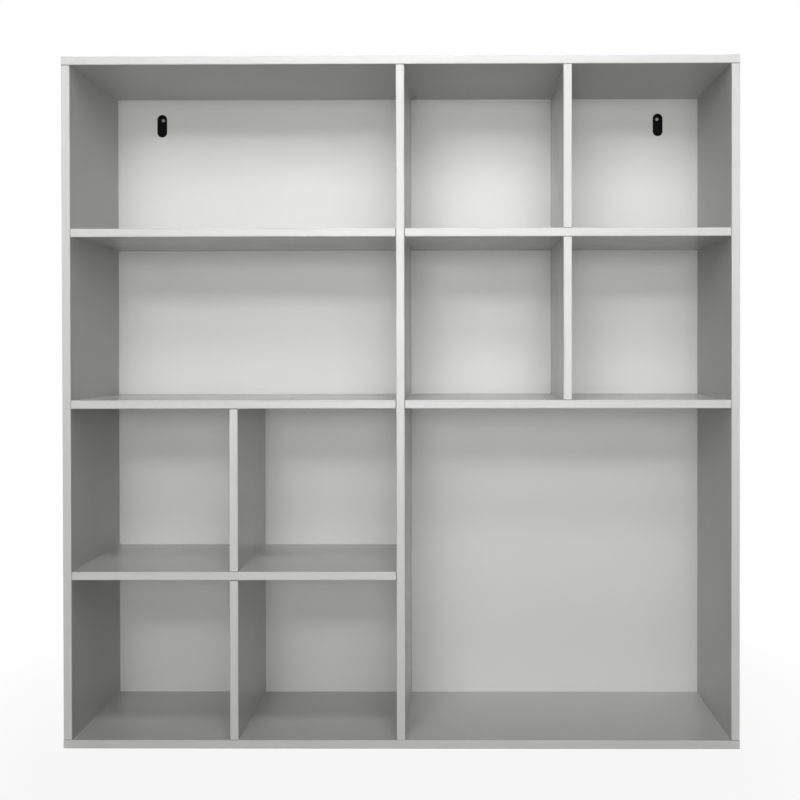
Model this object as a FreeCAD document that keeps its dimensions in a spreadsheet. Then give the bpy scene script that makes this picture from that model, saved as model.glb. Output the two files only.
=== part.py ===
import FreeCAD, Part
import math
import os
import re

from FreeCAD import Rotation, Vector
from Sketcher import Constraint

# A cube shelf of faced board that hangs on a wall rail by two adjustable hooks.
# X runs to the right, -Y is the open front and +Z is up, in millimetres.
# The origin lies under the middle of the bottom panel, half way through its depth.

# Driving sizes, each in its own cell of the sheet
SIZES = {
    # Carcass
    "overall_width": 1210,
    "overall_depth": 300,
    "row_height": 292,
    "bottom_row_height": 287,
    "board_thick": 15,
    "band_thick": 2,
    "band_land": 0.5,
    "band_seam": 1,
    # Back boards in their grooves, ahead of the gap that hides the hangers
    "back_thick": 3,
    "wall_gap": 20,
    "groove_depth": 7,
    "groove_clearance": 0.1,
    "groove_end_room": 0.5,
    "joiner_width": 13,
    "joiner_flange": 1,
    "joiner_web": 1.2,
    # Connecting screws with their caps, and dowels
    "fastener_inset": 45,
    "hole_clearance": 0.1,
    "hole_end_room": 1,
    "screw_length": 50,
    "screw_head_diameter": 10,
    "screw_head_height": 3.5,
    "screw_sink": 0.3,
    "screw_shank_diameter": 7,
    "screw_shank_room": 0.5,
    "screw_core_diameter": 5,
    "screw_tip_chamfer": 1.5,
    "socket_width": 4,
    "socket_depth": 2.5,
    "cap_diameter": 12,
    "cap_thick": 1.2,
    "cap_round": 0.8,
    "cap_stem_diameter": 3.6,
    "cap_stem_length": 2,
    "dowel_diameter": 8,
    "dowel_length": 30,
    "dowel_face_wall": 5,
    "dowel_grip": 20,
    "dowel_chamfer": 0.8,
    # Small screws that hold the back to the shelves and dividers
    "back_screw_inset": 60,
    "back_screw_diameter": 3,
    "back_screw_length": 16,
    "back_screw_head_diameter": 6.4,
    "back_screw_head_height": 1.8,
    # Slots in the back that give a screwdriver a way to the hangers
    "slot_width": 20,
    "slot_height": 46,
    "left_slot_inset": 90,
    "right_slot_inset": 81,
    "slot_drop": 52.5,
    # Hangers behind the slots, whose hook plates close the view through the guides
    "hanger_steel": 2,
    "bracket_width": 64,
    "bracket_height": 106,
    "bracket_bend": 1.5,
    "flange_wall_room": 1,
    "bracket_screw_spacing": 44,
    "bracket_screw_diameter": 4,
    "bracket_screw_length": 12,
    "bracket_screw_head_diameter": 8,
    "bracket_screw_head_height": 2.4,
    "slide_clearance": 0.3,
    "hook_width": 56,
    "hook_mouth": 4.5,
    "hook_lip": 12,
    "hook_rise": 24,
    "hook_drop": 38,
    "hook_wall_room": 2.2,
    "key_drop": 7,
    "key_height": 10,
    "key_depth": 1.6,
    "clamp_diameter": 4,
    "clamp_length": 10,
    "clamp_head_diameter": 7,
    "clamp_head_height": 3.4,
    "clamp_head_round": 1.2,
    "recess_length": 4.2,
    "recess_width": 0.9,
    "recess_depth": 1.6,
    "nut_width": 7,
    "nut_height": 3.2,
}

# Places and sizes that follow from the driving ones
PLACES = {
    "half_width": "overall_width / 2",
    "half_depth": "overall_depth / 2",
    "core_front": "band_thick - half_depth",
    "outer_depth": "overall_depth - band_thick",
    "back_rear": "half_depth - wall_gap",
    "back_front": "back_rear - back_thick",
    "inner_depth": "back_front - core_front",
    "inner_left": "board_thick - half_width",
    "inner_right": "half_width - board_thick",
    "bay_width": "half_width - 1.5 * board_thick",
    "cell_width": "(bay_width - board_thick) / 2",
    "row_pitch": "row_height + board_thick",
    "lower_shelf": "board_thick + bottom_row_height",
    "middle_shelf": "lower_shelf + row_pitch",
    "upper_shelf": "middle_shelf + row_pitch",
    "ceiling": "upper_shelf + row_pitch",
    "inner_height": "ceiling - board_thick",
    "back_grip": "groove_depth - groove_end_room",
    "back_half_width": "bay_width + back_grip + (board_thick - joiner_web) / 2",
    "back_height": "inner_height + 2 * back_grip",
    "fastener_rear": "inner_depth - fastener_inset",
    "fastener_middle": "inner_depth / 2",
    "shank_length": "board_thick - screw_sink - screw_head_height - screw_shank_room",
    "thread_length": "screw_length - screw_head_height - shank_length",
    "pilot_depth": "screw_sink + screw_length - board_thick + hole_end_room",
    "dowel_face_depth": "board_thick - dowel_face_wall",
    "dowel_end_depth": "dowel_length - dowel_face_depth",
    "through_dowel_length": "board_thick + 2 * dowel_grip",
    "slot_radius": "slot_width / 2",
    "hook_travel": "slot_height - slot_width",
    "clamp_rest": "ceiling - slot_drop + hook_travel / 2",
    "hook_depth": "2 * hanger_steel + hook_mouth",
    "hook_front": "half_depth - hook_wall_room - hook_depth",
    "web_rear": "hook_front - slide_clearance",
    "web_front": "web_rear - hanger_steel",
    "bracket_foot": "ceiling - bracket_height",
    "flange_depth": "wall_gap - flange_wall_room",
    "bracket_screw_row": "(web_rear + back_rear + flange_depth) / 2",
    "guide_radius": "clamp_diameter / 2 + slide_clearance",
    "guide_span": "hook_travel + key_drop + key_height",
    "guide_low": "clamp_rest - guide_span - bracket_foot",
}

doc = FreeCAD.newDocument("wall_shelf")
sheet = doc.addObject("Spreadsheet::Sheet", "Dims")
for row, (size_name, size) in enumerate(SIZES.items(), start=1):
    sheet.set(f"A{row}", size_name)
    sheet.set(f"B{row}", str(size))
    sheet.setAlias(f"B{row}", size_name)
doc.recompute()
nodes = []
TINY = 1e-6


def formula(text):
    # Every named size or place in the text becomes a reference to the sheet's cells
    def expand(match):
        name = match.group()
        return f"({formula(PLACES[name])})" if name in PLACES else f"Dims.{name}"

    return re.sub(r"[a-z]+(_[a-z]+)*", expand, text)


def value(text):
    return float(sheet.evalExpression(formula(text)))


def bind(thing, path, text):
    thing.setExpression(path, formula(text))


def place(thing, base, rotation):
    thing.Placement.Rotation = rotation
    for axis, text in zip("xyz", base):
        bind(thing, f"Placement.Base.{axis}", text)


def new_body(label, base=("0", "0", "0"), rotation=Rotation()):
    body = doc.addObject("PartDesign::Body", label)
    place(body, base, rotation)
    return body


# Sketches: every drawing is fully tied to named sizes

def new_sketch(body, plane, offset="0"):
    sketch = body.newObject("Sketcher::SketchObject", "Sketch")
    support = next(item for item in body.Origin.OriginFeatures if item.Role == plane)
    sketch.AttachmentSupport = [(support, "")]
    sketch.MapMode = "FlatFace"
    bind(sketch, "AttachmentOffset.Base.z", offset)
    return sketch


def set_size(sketch, kind, *where, text):
    index = sketch.addConstraint(Constraint(kind, *where, value(text)))
    bind(sketch, f"Constraints[{index}]", text)


def set_corner(sketch, line, across, up):
    # The start of the line lies at these distances from the sketch's origin
    for kind, axis, text in (("DistanceX", -2, across), ("DistanceY", -1, up)):
        if text == "0":
            sketch.addConstraint(Constraint("PointOnObject", line, 1, axis))
        else:
            set_size(sketch, kind, -1, 1, line, 1, text=text)


def draw_outline(sketch, points):
    # Closed outline of level and upright lines
    first = sketch.GeometryCount
    count = len(points)
    for step in range(count):
        start = Vector(*points[step], 0)
        end = Vector(*points[(step + 1) % count], 0)
        line = sketch.addGeometry(Part.LineSegment(start, end))
        direction = "Horizontal" if start.y == end.y else "Vertical"
        sketch.addConstraint(Constraint(direction, line))
    for step in range(count):
        following = first + (step + 1) % count
        sketch.addConstraint(Constraint("Coincident", first + step, 2, following, 1))
    return first


def draw_rectangle(sketch, across, up, width, height):
    left = value(across)
    low = value(up)
    right = left + value(width)
    high = low + value(height)
    first = draw_outline(sketch, [(left, low), (right, low), (right, high), (left, high)])
    set_corner(sketch, first, across, up)
    set_size(sketch, "DistanceX", first, 1, first, 2, text=width)
    set_size(sketch, "DistanceY", first + 1, 1, first + 1, 2, text=height)


def draw_centred_rectangle(sketch, width, height):
    right = value(width) / 2
    high = value(height) / 2
    first = draw_outline(sketch, [(-right, -high), (right, -high), (right, high), (-right, high)])
    sketch.addConstraint(Constraint("Symmetric", first, 1, first + 1, 2, -1, 1))
    set_size(sketch, "DistanceX", first, 1, first, 2, text=width)
    set_size(sketch, "DistanceY", first + 1, 1, first + 1, 2, text=height)


def draw_circles(sketch, spots, radius):
    for across, up in spots:
        centre = Vector(value(across), value(up), 0)
        circle = sketch.addGeometry(Part.Circle(centre, Vector(0, 0, 1), value(radius)))
        set_size(sketch, "DistanceX", -1, 1, circle, 3, text=across)
        set_size(sketch, "DistanceY", -1, 1, circle, 3, text=up)
        set_size(sketch, "Radius", circle, text=radius)


def draw_bore(sketch, radius):
    circle = sketch.addGeometry(Part.Circle(Vector(), Vector(0, 0, 1), value(radius)))
    sketch.addConstraint(Constraint("Coincident", circle, 3, -1, 1))
    set_size(sketch, "Radius", circle, text=radius)


def add_arc(sketch, centre, radius, start, end):
    circle = Part.Circle(Vector(*centre, 0), Vector(0, 0, 1), radius)
    return sketch.addGeometry(Part.ArcOfCircle(circle, start, end))


def add_line(sketch, start, end):
    return sketch.addGeometry(Part.LineSegment(Vector(*start, 0), Vector(*end, 0)))


def draw_pill(sketch, across, low, span, radius):
    # Upright slot with round ends, whose end centres are a span apart
    middle = value(across)
    bottom = value(low)
    top = bottom + value(span)
    reach = value(radius)
    upper = add_arc(sketch, (middle, top), reach, 0, math.pi)
    left = add_line(sketch, (middle - reach, top), (middle - reach, bottom))
    lower = add_arc(sketch, (middle, bottom), reach, math.pi, 2 * math.pi)
    right = add_line(sketch, (middle + reach, bottom), (middle + reach, top))
    for one, other in ((upper, left), (left, lower), (lower, right), (right, upper)):
        sketch.addConstraint(Constraint("Tangent", one, 2, other, 1))
    sketch.addConstraint(Constraint("Equal", upper, lower))
    sketch.addConstraint(Constraint("Vertical", left))
    set_size(sketch, "DistanceX", -1, 1, lower, 3, text=across)
    set_size(sketch, "DistanceY", -1, 1, lower, 3, text=low)
    set_size(sketch, "DistanceY", lower, 3, upper, 3, text=span)
    set_size(sketch, "Radius", lower, text=radius)


def draw_hexagon(sketch, width):
    # Regular hexagon about the origin, width across its flats
    reach = value(width) / math.sqrt(3)
    corners = [(reach * math.cos(turn * math.pi / 3), reach * math.sin(turn * math.pi / 3))
               for turn in range(6)]
    sides = [add_line(sketch, corners[step], corners[(step + 1) % 6]) for step in range(6)]
    circle = sketch.addGeometry(Part.Circle(Vector(), Vector(0, 0, 1), reach), True)
    sketch.addConstraint(Constraint("Coincident", circle, 3, -1, 1))
    for step, side in enumerate(sides):
        sketch.addConstraint(Constraint("Coincident", side, 2, sides[(step + 1) % 6], 1))
        sketch.addConstraint(Constraint("PointOnObject", side, 1, circle))
        if step:
            sketch.addConstraint(Constraint("Equal", sides[0], side))
    sketch.addConstraint(Constraint("PointOnObject", sides[0], 1, -1))
    set_size(sketch, "DistanceY", -1, 1, sides[1], 1, text=f"{width} / 2")


def draw_band_profile(sketch):
    # Back from the rounded face along the first axis, across the board along the second
    thick = value("board_thick")
    deep = value("band_thick")
    reach = value("band_thick - band_land")
    rear = add_line(sketch, (deep, 0), (deep, thick))
    top = add_line(sketch, (deep, thick), (reach, thick))
    upper = add_arc(sketch, (reach, thick - reach), reach, math.pi / 2, math.pi)
    front = add_line(sketch, (0, thick - reach), (0, reach))
    lower = add_arc(sketch, (reach, reach), reach, math.pi, 1.5 * math.pi)
    bottom = add_line(sketch, (reach, 0), (deep, 0))
    for one, other in ((top, upper), (upper, front), (front, lower), (lower, bottom)):
        sketch.addConstraint(Constraint("Tangent", one, 2, other, 1))
    for one, other in ((bottom, rear), (rear, top)):
        sketch.addConstraint(Constraint("Coincident", one, 2, other, 1))
    for line in (top, bottom):
        sketch.addConstraint(Constraint("Horizontal", line))
    for line in (rear, front):
        sketch.addConstraint(Constraint("Vertical", line))
    sketch.addConstraint(Constraint("Equal", upper, lower))
    sketch.addConstraint(Constraint("PointOnObject", front, 1, -2))
    sketch.addConstraint(Constraint("PointOnObject", rear, 1, -1))
    set_size(sketch, "DistanceX", -1, 1, rear, 1, text="band_thick")
    set_size(sketch, "DistanceY", rear, 1, rear, 2, text="board_thick")
    set_size(sketch, "DistanceX", bottom, 1, bottom, 2, text="band_land")


def draw_hook_profile(sketch):
    # Side view of the hook plate: up the plate, over the bend and down its rear lip
    steel = value("hanger_steel")
    mouth = value("hook_mouth")
    bend = value("hook_rise + hook_drop")
    lip_end = bend - value("hook_lip")
    middle = steel + mouth / 2
    deep = value("hook_depth")
    foot = add_line(sketch, (0, 0), (steel, 0))
    plate_rear = add_line(sketch, (steel, 0), (steel, bend))
    inner = add_arc(sketch, (middle, bend), mouth / 2, 0, math.pi)
    lip_front = add_line(sketch, (steel + mouth, bend), (steel + mouth, lip_end))
    lip_foot = add_line(sketch, (steel + mouth, lip_end), (deep, lip_end))
    lip_rear = add_line(sketch, (deep, lip_end), (deep, bend))
    outer = add_arc(sketch, (middle, bend), middle, 0, math.pi)
    plate_front = add_line(sketch, (0, bend), (0, 0))
    corners = ((foot, plate_rear), (lip_front, lip_foot), (lip_foot, lip_rear), (plate_front, foot))
    for one, other in corners:
        sketch.addConstraint(Constraint("Coincident", one, 2, other, 1))
    sketch.addConstraint(Constraint("Tangent", plate_rear, 2, inner, 2))
    sketch.addConstraint(Constraint("Tangent", inner, 1, lip_front, 1))
    sketch.addConstraint(Constraint("Tangent", lip_rear, 2, outer, 1))
    sketch.addConstraint(Constraint("Tangent", outer, 2, plate_front, 1))
    sketch.addConstraint(Constraint("Coincident", inner, 3, outer, 3))
    sketch.addConstraint(Constraint("Coincident", foot, 1, -1, 1))
    for line in (foot, lip_foot):
        sketch.addConstraint(Constraint("Horizontal", line))
    for line in (plate_rear, lip_front, lip_rear, plate_front):
        sketch.addConstraint(Constraint("Vertical", line))
    set_size(sketch, "DistanceX", foot, 1, foot, 2, text="hanger_steel")
    set_size(sketch, "DistanceY", plate_front, 2, plate_front, 1, text="hook_rise + hook_drop")
    set_size(sketch, "DistanceY", lip_front, 2, lip_front, 1, text="hook_lip")
    set_size(sketch, "Radius", inner, text="hook_mouth / 2")


# Features

def extrude(body, kind, sketch, length=None, reverse=False):
    # A Pad or Pocket of the sketch, right through where no length is given
    feature = body.newObject(f"PartDesign::{kind}", kind)
    feature.Profile = sketch
    feature.Reversed = reverse
    if length is None:
        feature.Type = "ThroughAll"
    else:
        bind(feature, "Length", length)
    return feature


def dress_edges(body, kind, size_path, size, chosen):
    # A Fillet or Chamfer of the chosen edges
    doc.recompute()
    base = body.Tip
    edges = [f"Edge{number}" for number, edge in enumerate(base.Shape.Edges, start=1) if chosen(edge)]
    feature = body.newObject(f"PartDesign::{kind}", kind)
    feature.Base = (base, edges)
    bind(feature, size_path, size)


def ring_at(height):
    # Picks the edges that lie level at this height of a turned piece
    level = value(height)
    return lambda edge: max(abs(edge.BoundBox.ZMin - level), abs(edge.BoundBox.ZMax - level)) < TINY


def turned_body(label, steps, base=("0", "0", "0"), rotation=Rotation()):
    # A turned piece from its top at the origin down, in steps of (radius, length)
    body = new_body(label, base, rotation)
    sketch = new_sketch(body, "XZ_Plane")
    points = [(0, 0)]
    depth = 0
    for radius, length in steps:
        points.append((value(radius), -depth))
        depth += value(length)
        points.append((value(radius), -depth))
    points.append((0, -depth))
    first = draw_outline(sketch, points)
    sketch.addConstraint(Constraint("Coincident", first, 1, -1, 1))
    for number, (radius, length) in enumerate(steps):
        wall = first + 1 + 2 * number
        set_size(sketch, "DistanceX", -1, 1, wall, 1, text=radius)
        set_size(sketch, "DistanceY", wall, 2, wall, 1, text=length)
    feature = body.newObject("PartDesign::Revolution", "Revolution")
    feature.Profile = sketch
    feature.ReferenceAxis = (sketch, ["V_Axis"])
    feature.Angle = 360
    return body


# Fasteners: one pattern piece each, pointing down from its head at the origin

screw = turned_body("connecting_screw", [
    ("screw_head_diameter / 2", "screw_head_height"),
    ("screw_shank_diameter / 2", "shank_length"),
    ("screw_core_diameter / 2", "thread_length"),
])
dress_edges(screw, "Chamfer", "Size", "screw_tip_chamfer", ring_at("-screw_length"))
socket = new_sketch(screw, "XY_Plane")
draw_hexagon(socket, "socket_width")
extrude(screw, "Pocket", socket, "socket_depth")

cap = turned_body("cover_cap", [
    ("cap_diameter / 2", "cap_thick"),
    ("cap_stem_diameter / 2", "cap_stem_length"),
])
dress_edges(cap, "Fillet", "Radius", "cap_round", ring_at("0"))

short_dowel = turned_body("short_dowel", [("dowel_diameter / 2", "dowel_length")])
through_dowel = turned_body("through_dowel", [("dowel_diameter / 2", "through_dowel_length")])
for dowel, length in ((short_dowel, "dowel_length"), (through_dowel, "through_dowel_length")):
    dress_edges(dowel, "Chamfer", "Size", "dowel_chamfer", ring_at("0"))
    dress_edges(dowel, "Chamfer", "Size", "dowel_chamfer", ring_at(f"-{length}"))

back_screw = turned_body("back_screw", [
    ("back_screw_head_diameter / 2", "back_screw_head_height"),
    ("back_screw_diameter / 2", "back_screw_length"),
])
bracket_screw = turned_body("bracket_screw", [
    ("bracket_screw_head_diameter / 2", "bracket_screw_head_height"),
    ("bracket_screw_diameter / 2", "bracket_screw_length"),
])

# How a fastener turns to enter from each side of the shelf
ENTRY = {
    "top": Rotation(),
    "bottom": Rotation(Vector(1, 0, 0), 180),
    "left": Rotation(Vector(0, 1, 0), -90),
    "right": Rotation(Vector(0, 1, 0), 90),
    "front": Rotation(Vector(1, 0, 0), 90),
    "rear": Rotation(Vector(1, 0, 0), -90),
}
groups = {}


def add_fastener(group, pattern, spot, side):
    copy = doc.addObject("App::Link", f"{pattern.Label}_copy")
    copy.LinkedObject = pattern
    place(copy, spot, ENTRY[side])
    groups.setdefault(group, []).append(copy)


def add_group(label, pieces):
    group = doc.addObject("Part::Compound", label)
    group.Links = pieces
    nodes.append(group)


# Boards

# Each face of a board: the origin plane beside it, the axis it is square to, whether it is the far one
FACES = {
    "left": ("YZ_Plane", "x", False),
    "right": ("YZ_Plane", "x", True),
    "front": ("XZ_Plane", "y", False),
    "rear": ("XZ_Plane", "y", True),
    "bottom": ("XY_Plane", "z", False),
    "top": ("XY_Plane", "z", True),
}
OPPOSITE = {"left": "right", "right": "left", "bottom": "top", "top": "bottom"}
# The two axes that a sketch on each plane runs along, and the axis that it is square to
PLANE_AXES = {"XY_Plane": "xyz", "YZ_Plane": "yzx", "XZ_Plane": "xzy"}


class Board:
    # A flat board with its lowest corner at base, in its own frame from that corner

    def __init__(self, label, plane, size, base):
        self.label = label
        self.plane = plane
        self.size = dict(zip("xyz", size))
        self.base = dict(zip("xyz", base))
        self.holes = {}
        self.body = new_body(label, base)
        across, up, through = PLANE_AXES[plane]
        sketch = new_sketch(self.body, plane)
        draw_rectangle(sketch, "0", "0", self.size[across], self.size[up])
        extrude(self.body, "Pad", sketch, self.size[through], plane == "XZ_Plane")
        nodes.append(self.body)

    def middle(self, axis):
        return f"{self.base[axis]} + ({self.size[axis]}) / 2"

    def face_place(self, face):
        plane, axis, far = FACES[face]
        return f"{self.base[axis]} + {self.size[axis]}" if far else self.base[axis]

    def cut(self, face, draw, depth=None):
        # A pocket inwards from a face, to a depth or right through. The XZ plane faces -Y.
        plane, axis, far = FACES[face]
        turned_plane = plane == "XZ_Plane"
        offset = self.size[axis] if far else "0"
        sketch = new_sketch(self.body, plane, f"-({offset})" if turned_plane else offset)
        draw(sketch)
        extrude(self.body, "Pocket", sketch, depth, far == turned_plane)

    def mark(self, face, spot, radius, depth=None):
        self.holes.setdefault((face, radius, depth), []).append(spot)

    def drill(self):
        for (face, radius, depth), spots in self.holes.items():
            self.cut(face, lambda sketch: draw_circles(sketch, spots, radius), depth)


LEVEL = "XY_Plane"
UPRIGHT = "YZ_Plane"


def level_board(label, length, depth, left, low):
    return Board(label, LEVEL, (length, depth, "board_thick"), (left, "core_front", low))


def upright_board(label, height, depth, left, low):
    return Board(label, UPRIGHT, ("board_thick", depth, height), (left, "core_front", low))


panel_length = "overall_width - 2 * band_thick"
panel_left = "band_thick - half_width"
left_divider = "inner_left + cell_width"
right_bay = "board_thick / 2"
right_divider = "board_thick / 2 + cell_width"

top_panel = level_board("top_panel", panel_length, "outer_depth", panel_left, "ceiling")
bottom_panel = level_board("bottom_panel", panel_length, "outer_depth", panel_left, "0")
left_side = upright_board("left_side_panel", "inner_height", "outer_depth", "-half_width", "board_thick")
right_side = upright_board("right_side_panel", "inner_height", "outer_depth", "inner_right", "board_thick")
upright = upright_board("centre_upright", "inner_height", "inner_depth - joiner_flange",
                        "-board_thick / 2", "board_thick")

left_upper_shelf = level_board("left_upper_shelf", "bay_width", "inner_depth", "inner_left", "upper_shelf")
left_middle_shelf = level_board("left_middle_shelf", "bay_width", "inner_depth", "inner_left", "middle_shelf")
left_lower_shelf = level_board("left_lower_shelf", "bay_width", "inner_depth", "inner_left", "lower_shelf")
right_upper_shelf = level_board("right_upper_shelf", "bay_width", "inner_depth", right_bay, "upper_shelf")
right_lower_shelf = level_board("right_lower_shelf", "bay_width", "inner_depth", right_bay, "middle_shelf")

left_upper_divider = upright_board("left_upper_divider", "row_height", "inner_depth",
                                   left_divider, "lower_shelf + board_thick")
left_lower_divider = upright_board("left_lower_divider", "bottom_row_height", "inner_depth",
                                   left_divider, "board_thick")
right_upper_divider = upright_board("right_upper_divider", "row_height", "inner_depth",
                                    right_divider, "upper_shelf + board_thick")
right_lower_divider = upright_board("right_lower_divider", "row_height", "inner_depth",
                                    right_divider, "middle_shelf + board_thick")

outer_boards = [top_panel, bottom_panel, left_side, right_side]
shelves = [left_upper_shelf, left_middle_shelf, left_lower_shelf, right_upper_shelf, right_lower_shelf]
dividers = [left_upper_divider, left_lower_divider, right_upper_divider, right_lower_divider]
boards = outer_boards + [upright] + shelves + dividers


# Edge bands: a rounded strip on the front of every board, and on the ends of the top and bottom panels

def front_band(board, label, left, low, length):
    if board.plane == LEVEL:
        body = new_body(label, (left, "-half_depth", low))
        sketch = new_sketch(body, "YZ_Plane")
    else:
        body = new_body(label, (f"{left} + board_thick", "-half_depth", low))
        sketch = new_sketch(body, "XY_Plane")
        sketch.AttachmentOffset.Rotation = Rotation(Vector(0, 0, 1), 90)
    draw_band_profile(sketch)
    extrude(body, "Pad", sketch, length)
    return body


def end_band(board, side):
    # The band on the right is the left one turned half round about the vertical
    on_left = side == "left"
    base = ("-half_width", "core_front") if on_left else ("half_width", "half_depth")
    turn = Rotation(Vector(0, 0, 1), 0 if on_left else 180)
    body = new_body(f"{board.label}_{side}_band", (*base, board.base["z"]), turn)
    sketch = new_sketch(body, "XZ_Plane")
    draw_band_profile(sketch)
    extrude(body, "Pad", sketch, "outer_depth", True)
    return body


for board in boards:
    left, low = board.base["x"], board.base["z"]
    if board in (top_panel, bottom_panel):
        front = front_band(board, f"{board.label}_front_band", "-half_width", low, "overall_width")
        strips = [front, end_band(board, "left"), end_band(board, "right")]
        add_group(f"{board.label}_edge_bands", strips)
        continue
    # A band stops short of the boards that its own board butts against, which leaves a fine seam
    label = f"{board.label}_edge_band"
    if board.plane == LEVEL:
        band = front_band(board, label, f"{left} + band_seam", low, f"{board.size['x']} - 2 * band_seam")
    else:
        band = front_band(board, label, left, f"{low} + band_seam", f"{board.size['z']} - 2 * band_seam")
    nodes.append(band)


# Joints between boards: an end of one board meets a face of another

def joint_axes(end):
    # The axis along the joint's fasteners, and the axis across the thickness of the board that ends there
    return ("z", "x") if end in ("top", "bottom") else ("x", "z")


def face_spot(board, end, cross, deep):
    # A spot on the board's face or end, given the place across the joint and the depth from the core's front
    across = joint_axes(end)[1]
    local = f"{cross} - ({board.base[across]})"
    return (local, deep) if across == "x" else (deep, local)


def joint_spot(end, along, cross, deep):
    depth = f"core_front + {deep}"
    return (cross, depth, along) if end in ("top", "bottom") else (along, depth, cross)


dowel_hole = "dowel_diameter / 2 + hole_clearance"
dowel_face_hole = "dowel_face_depth + hole_end_room"
dowel_end_hole = "dowel_end_depth + hole_end_room"
pair = ("fastener_inset", "fastener_rear")
away = {"top": "+", "right": "+", "bottom": "-", "left": "-"}


def add_short_dowel(face_board, end_board, end, deep):
    # From a blind hole in the face of one board into the end of the other
    cross = end_board.middle(joint_axes(end)[1])
    face_board.mark(OPPOSITE[end], face_spot(face_board, end, cross, deep), dowel_hole, dowel_face_hole)
    end_board.mark(end, face_spot(end_board, end, cross, deep), dowel_hole, dowel_end_hole)
    tip = f"{end_board.face_place(end)} {away[end]} dowel_face_depth"
    add_fastener("short_dowels", short_dowel, joint_spot(end, tip, cross, deep), end)


def screw_joint(panel, board, end, capped=True):
    # Two connecting screws through the panel from its outer face, with a dowel between them
    cross = board.middle(joint_axes(end)[1])
    outer_face = panel.face_place(end)
    sunk = f"{outer_face} - ({away[end]}screw_sink)"
    proud = f"{outer_face} {away[end]} cap_thick"
    for deep in pair:
        spot = face_spot(panel, end, cross, deep)
        panel.mark(end, spot, "screw_head_diameter / 2 + hole_clearance", "screw_sink + screw_head_height")
        panel.mark(end, spot, "screw_shank_diameter / 2 + hole_clearance")
        end_spot = face_spot(board, end, cross, deep)
        board.mark(end, end_spot, "screw_core_diameter / 2 + hole_clearance", "pilot_depth")
        add_fastener(f"{panel.label}_screws", screw, joint_spot(end, sunk, cross, deep), end)
        if capped:
            add_fastener(f"{panel.label}_screw_caps", cap, joint_spot(end, proud, cross, deep), end)
    add_short_dowel(panel, board, end, "fastener_middle")


def blind_joint(panel, board, end):
    for deep in pair:
        add_short_dowel(panel, board, end, deep)


def through_joint(panel, board, end, other_board):
    # Two dowels through the panel, into the end of one board and the facing end of the other
    along, across = joint_axes(end)
    cross = board.middle(across)
    tip = f"{panel.middle(along)} {away[end]} through_dowel_length / 2"
    for deep in pair:
        panel.mark(end, face_spot(panel, end, cross, deep), dowel_hole)
        for piece, piece_end in ((board, end), (other_board, OPPOSITE[end])):
            spot = face_spot(piece, end, cross, deep)
            piece.mark(piece_end, spot, dowel_hole, "dowel_grip + hole_end_room")
        add_fastener("through_dowels", through_dowel, joint_spot(end, tip, cross, deep), end)


for board in (left_side, upright, right_side, right_upper_divider):
    screw_joint(top_panel, board, "top")
for board in (left_side, upright, right_side, left_lower_divider):
    screw_joint(bottom_panel, board, "bottom", capped=False)
for board in (left_upper_shelf, left_middle_shelf, left_lower_shelf):
    screw_joint(left_side, board, "left")
for board in (right_upper_shelf, right_lower_shelf):
    screw_joint(right_side, board, "right")
screw_joint(right_lower_shelf, right_lower_divider, "bottom")
blind_joint(upright, left_lower_shelf, "right")
blind_joint(left_middle_shelf, left_upper_divider, "top")
through_joint(upright, left_upper_shelf, "right", right_upper_shelf)
through_joint(upright, left_middle_shelf, "right", right_lower_shelf)
through_joint(right_upper_shelf, right_lower_divider, "top", right_upper_divider)
through_joint(left_lower_shelf, left_lower_divider, "top", left_upper_divider)


# Back: two boards in the grooves of the outer boards, joined behind the centre upright

groove_face = {top_panel: "bottom", bottom_panel: "top", left_side: "right", right_side: "left"}
groove_start = "inner_depth - groove_clearance"
groove_width = "back_thick + 2 * groove_clearance"
for board, face in groove_face.items():
    if board.plane == LEVEL:
        groove = ("0", groove_start, board.size["x"], groove_width)
    else:
        groove = (groove_start, "0", groove_width, board.size["z"])
    board.cut(face, lambda sketch: draw_rectangle(sketch, *groove), "groove_depth")

back_size = ("back_half_width", "back_thick", "back_height")
back_low = "board_thick - back_grip"
left_back_corner = ("inner_left - back_grip", "back_front", back_low)
right_back_corner = ("joiner_web / 2", "back_front", back_low)
left_back = Board("left_back_panel", "XZ_Plane", back_size, left_back_corner)
right_back = Board("right_back_panel", "XZ_Plane", back_size, right_back_corner)


def add_back_screw(board, across, up):
    # From behind, through the back board and into the rear edge of a shelf or divider
    back = left_back if board.label.startswith("left") else right_back
    hole = "back_screw_diameter / 2 + hole_clearance"
    board.mark("rear", (f"{across} - ({board.base['x']})", f"{up} - ({board.base['z']})"), hole,
               "back_screw_length - back_thick + hole_end_room")
    back.mark("rear", (f"{across} - ({back.base['x']})", f"{up} - ({back.base['z']})"), hole)
    add_fastener("back_panel_screws", back_screw, (across, "back_rear + back_screw_head_height", up), "rear")


for board in shelves:
    for inset in ("back_screw_inset", "bay_width - back_screw_inset"):
        across = f"{board.base['x']} + {inset}"
        add_back_screw(board, across, board.middle("z"))
for board in dividers:
    for inset in ("back_screw_inset", f"{board.size['z']} - back_screw_inset"):
        up = f"{board.base['z']} + {inset}"
        add_back_screw(board, board.middle("x"), up)

joiner = new_body("back_panel_joiner", ("-joiner_width / 2", "back_front - joiner_flange", "board_thick"))
web_start = "(joiner_width - joiner_web) / 2"
joiner_sections = (
    ("0", "0", "joiner_width", "joiner_flange"),
    (web_start, "joiner_flange", "joiner_web", "back_thick"),
    ("0", "joiner_flange + back_thick", "joiner_width", "joiner_flange"),
)
for section in joiner_sections:
    sketch = new_sketch(joiner, "XY_Plane")
    draw_rectangle(sketch, *section)
    extrude(joiner, "Pad", sketch, "inner_height")
nodes.append(joiner)


# Hangers: a folded bracket under the top panel, and a hook plate that a clamp screw holds at any height

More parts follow.
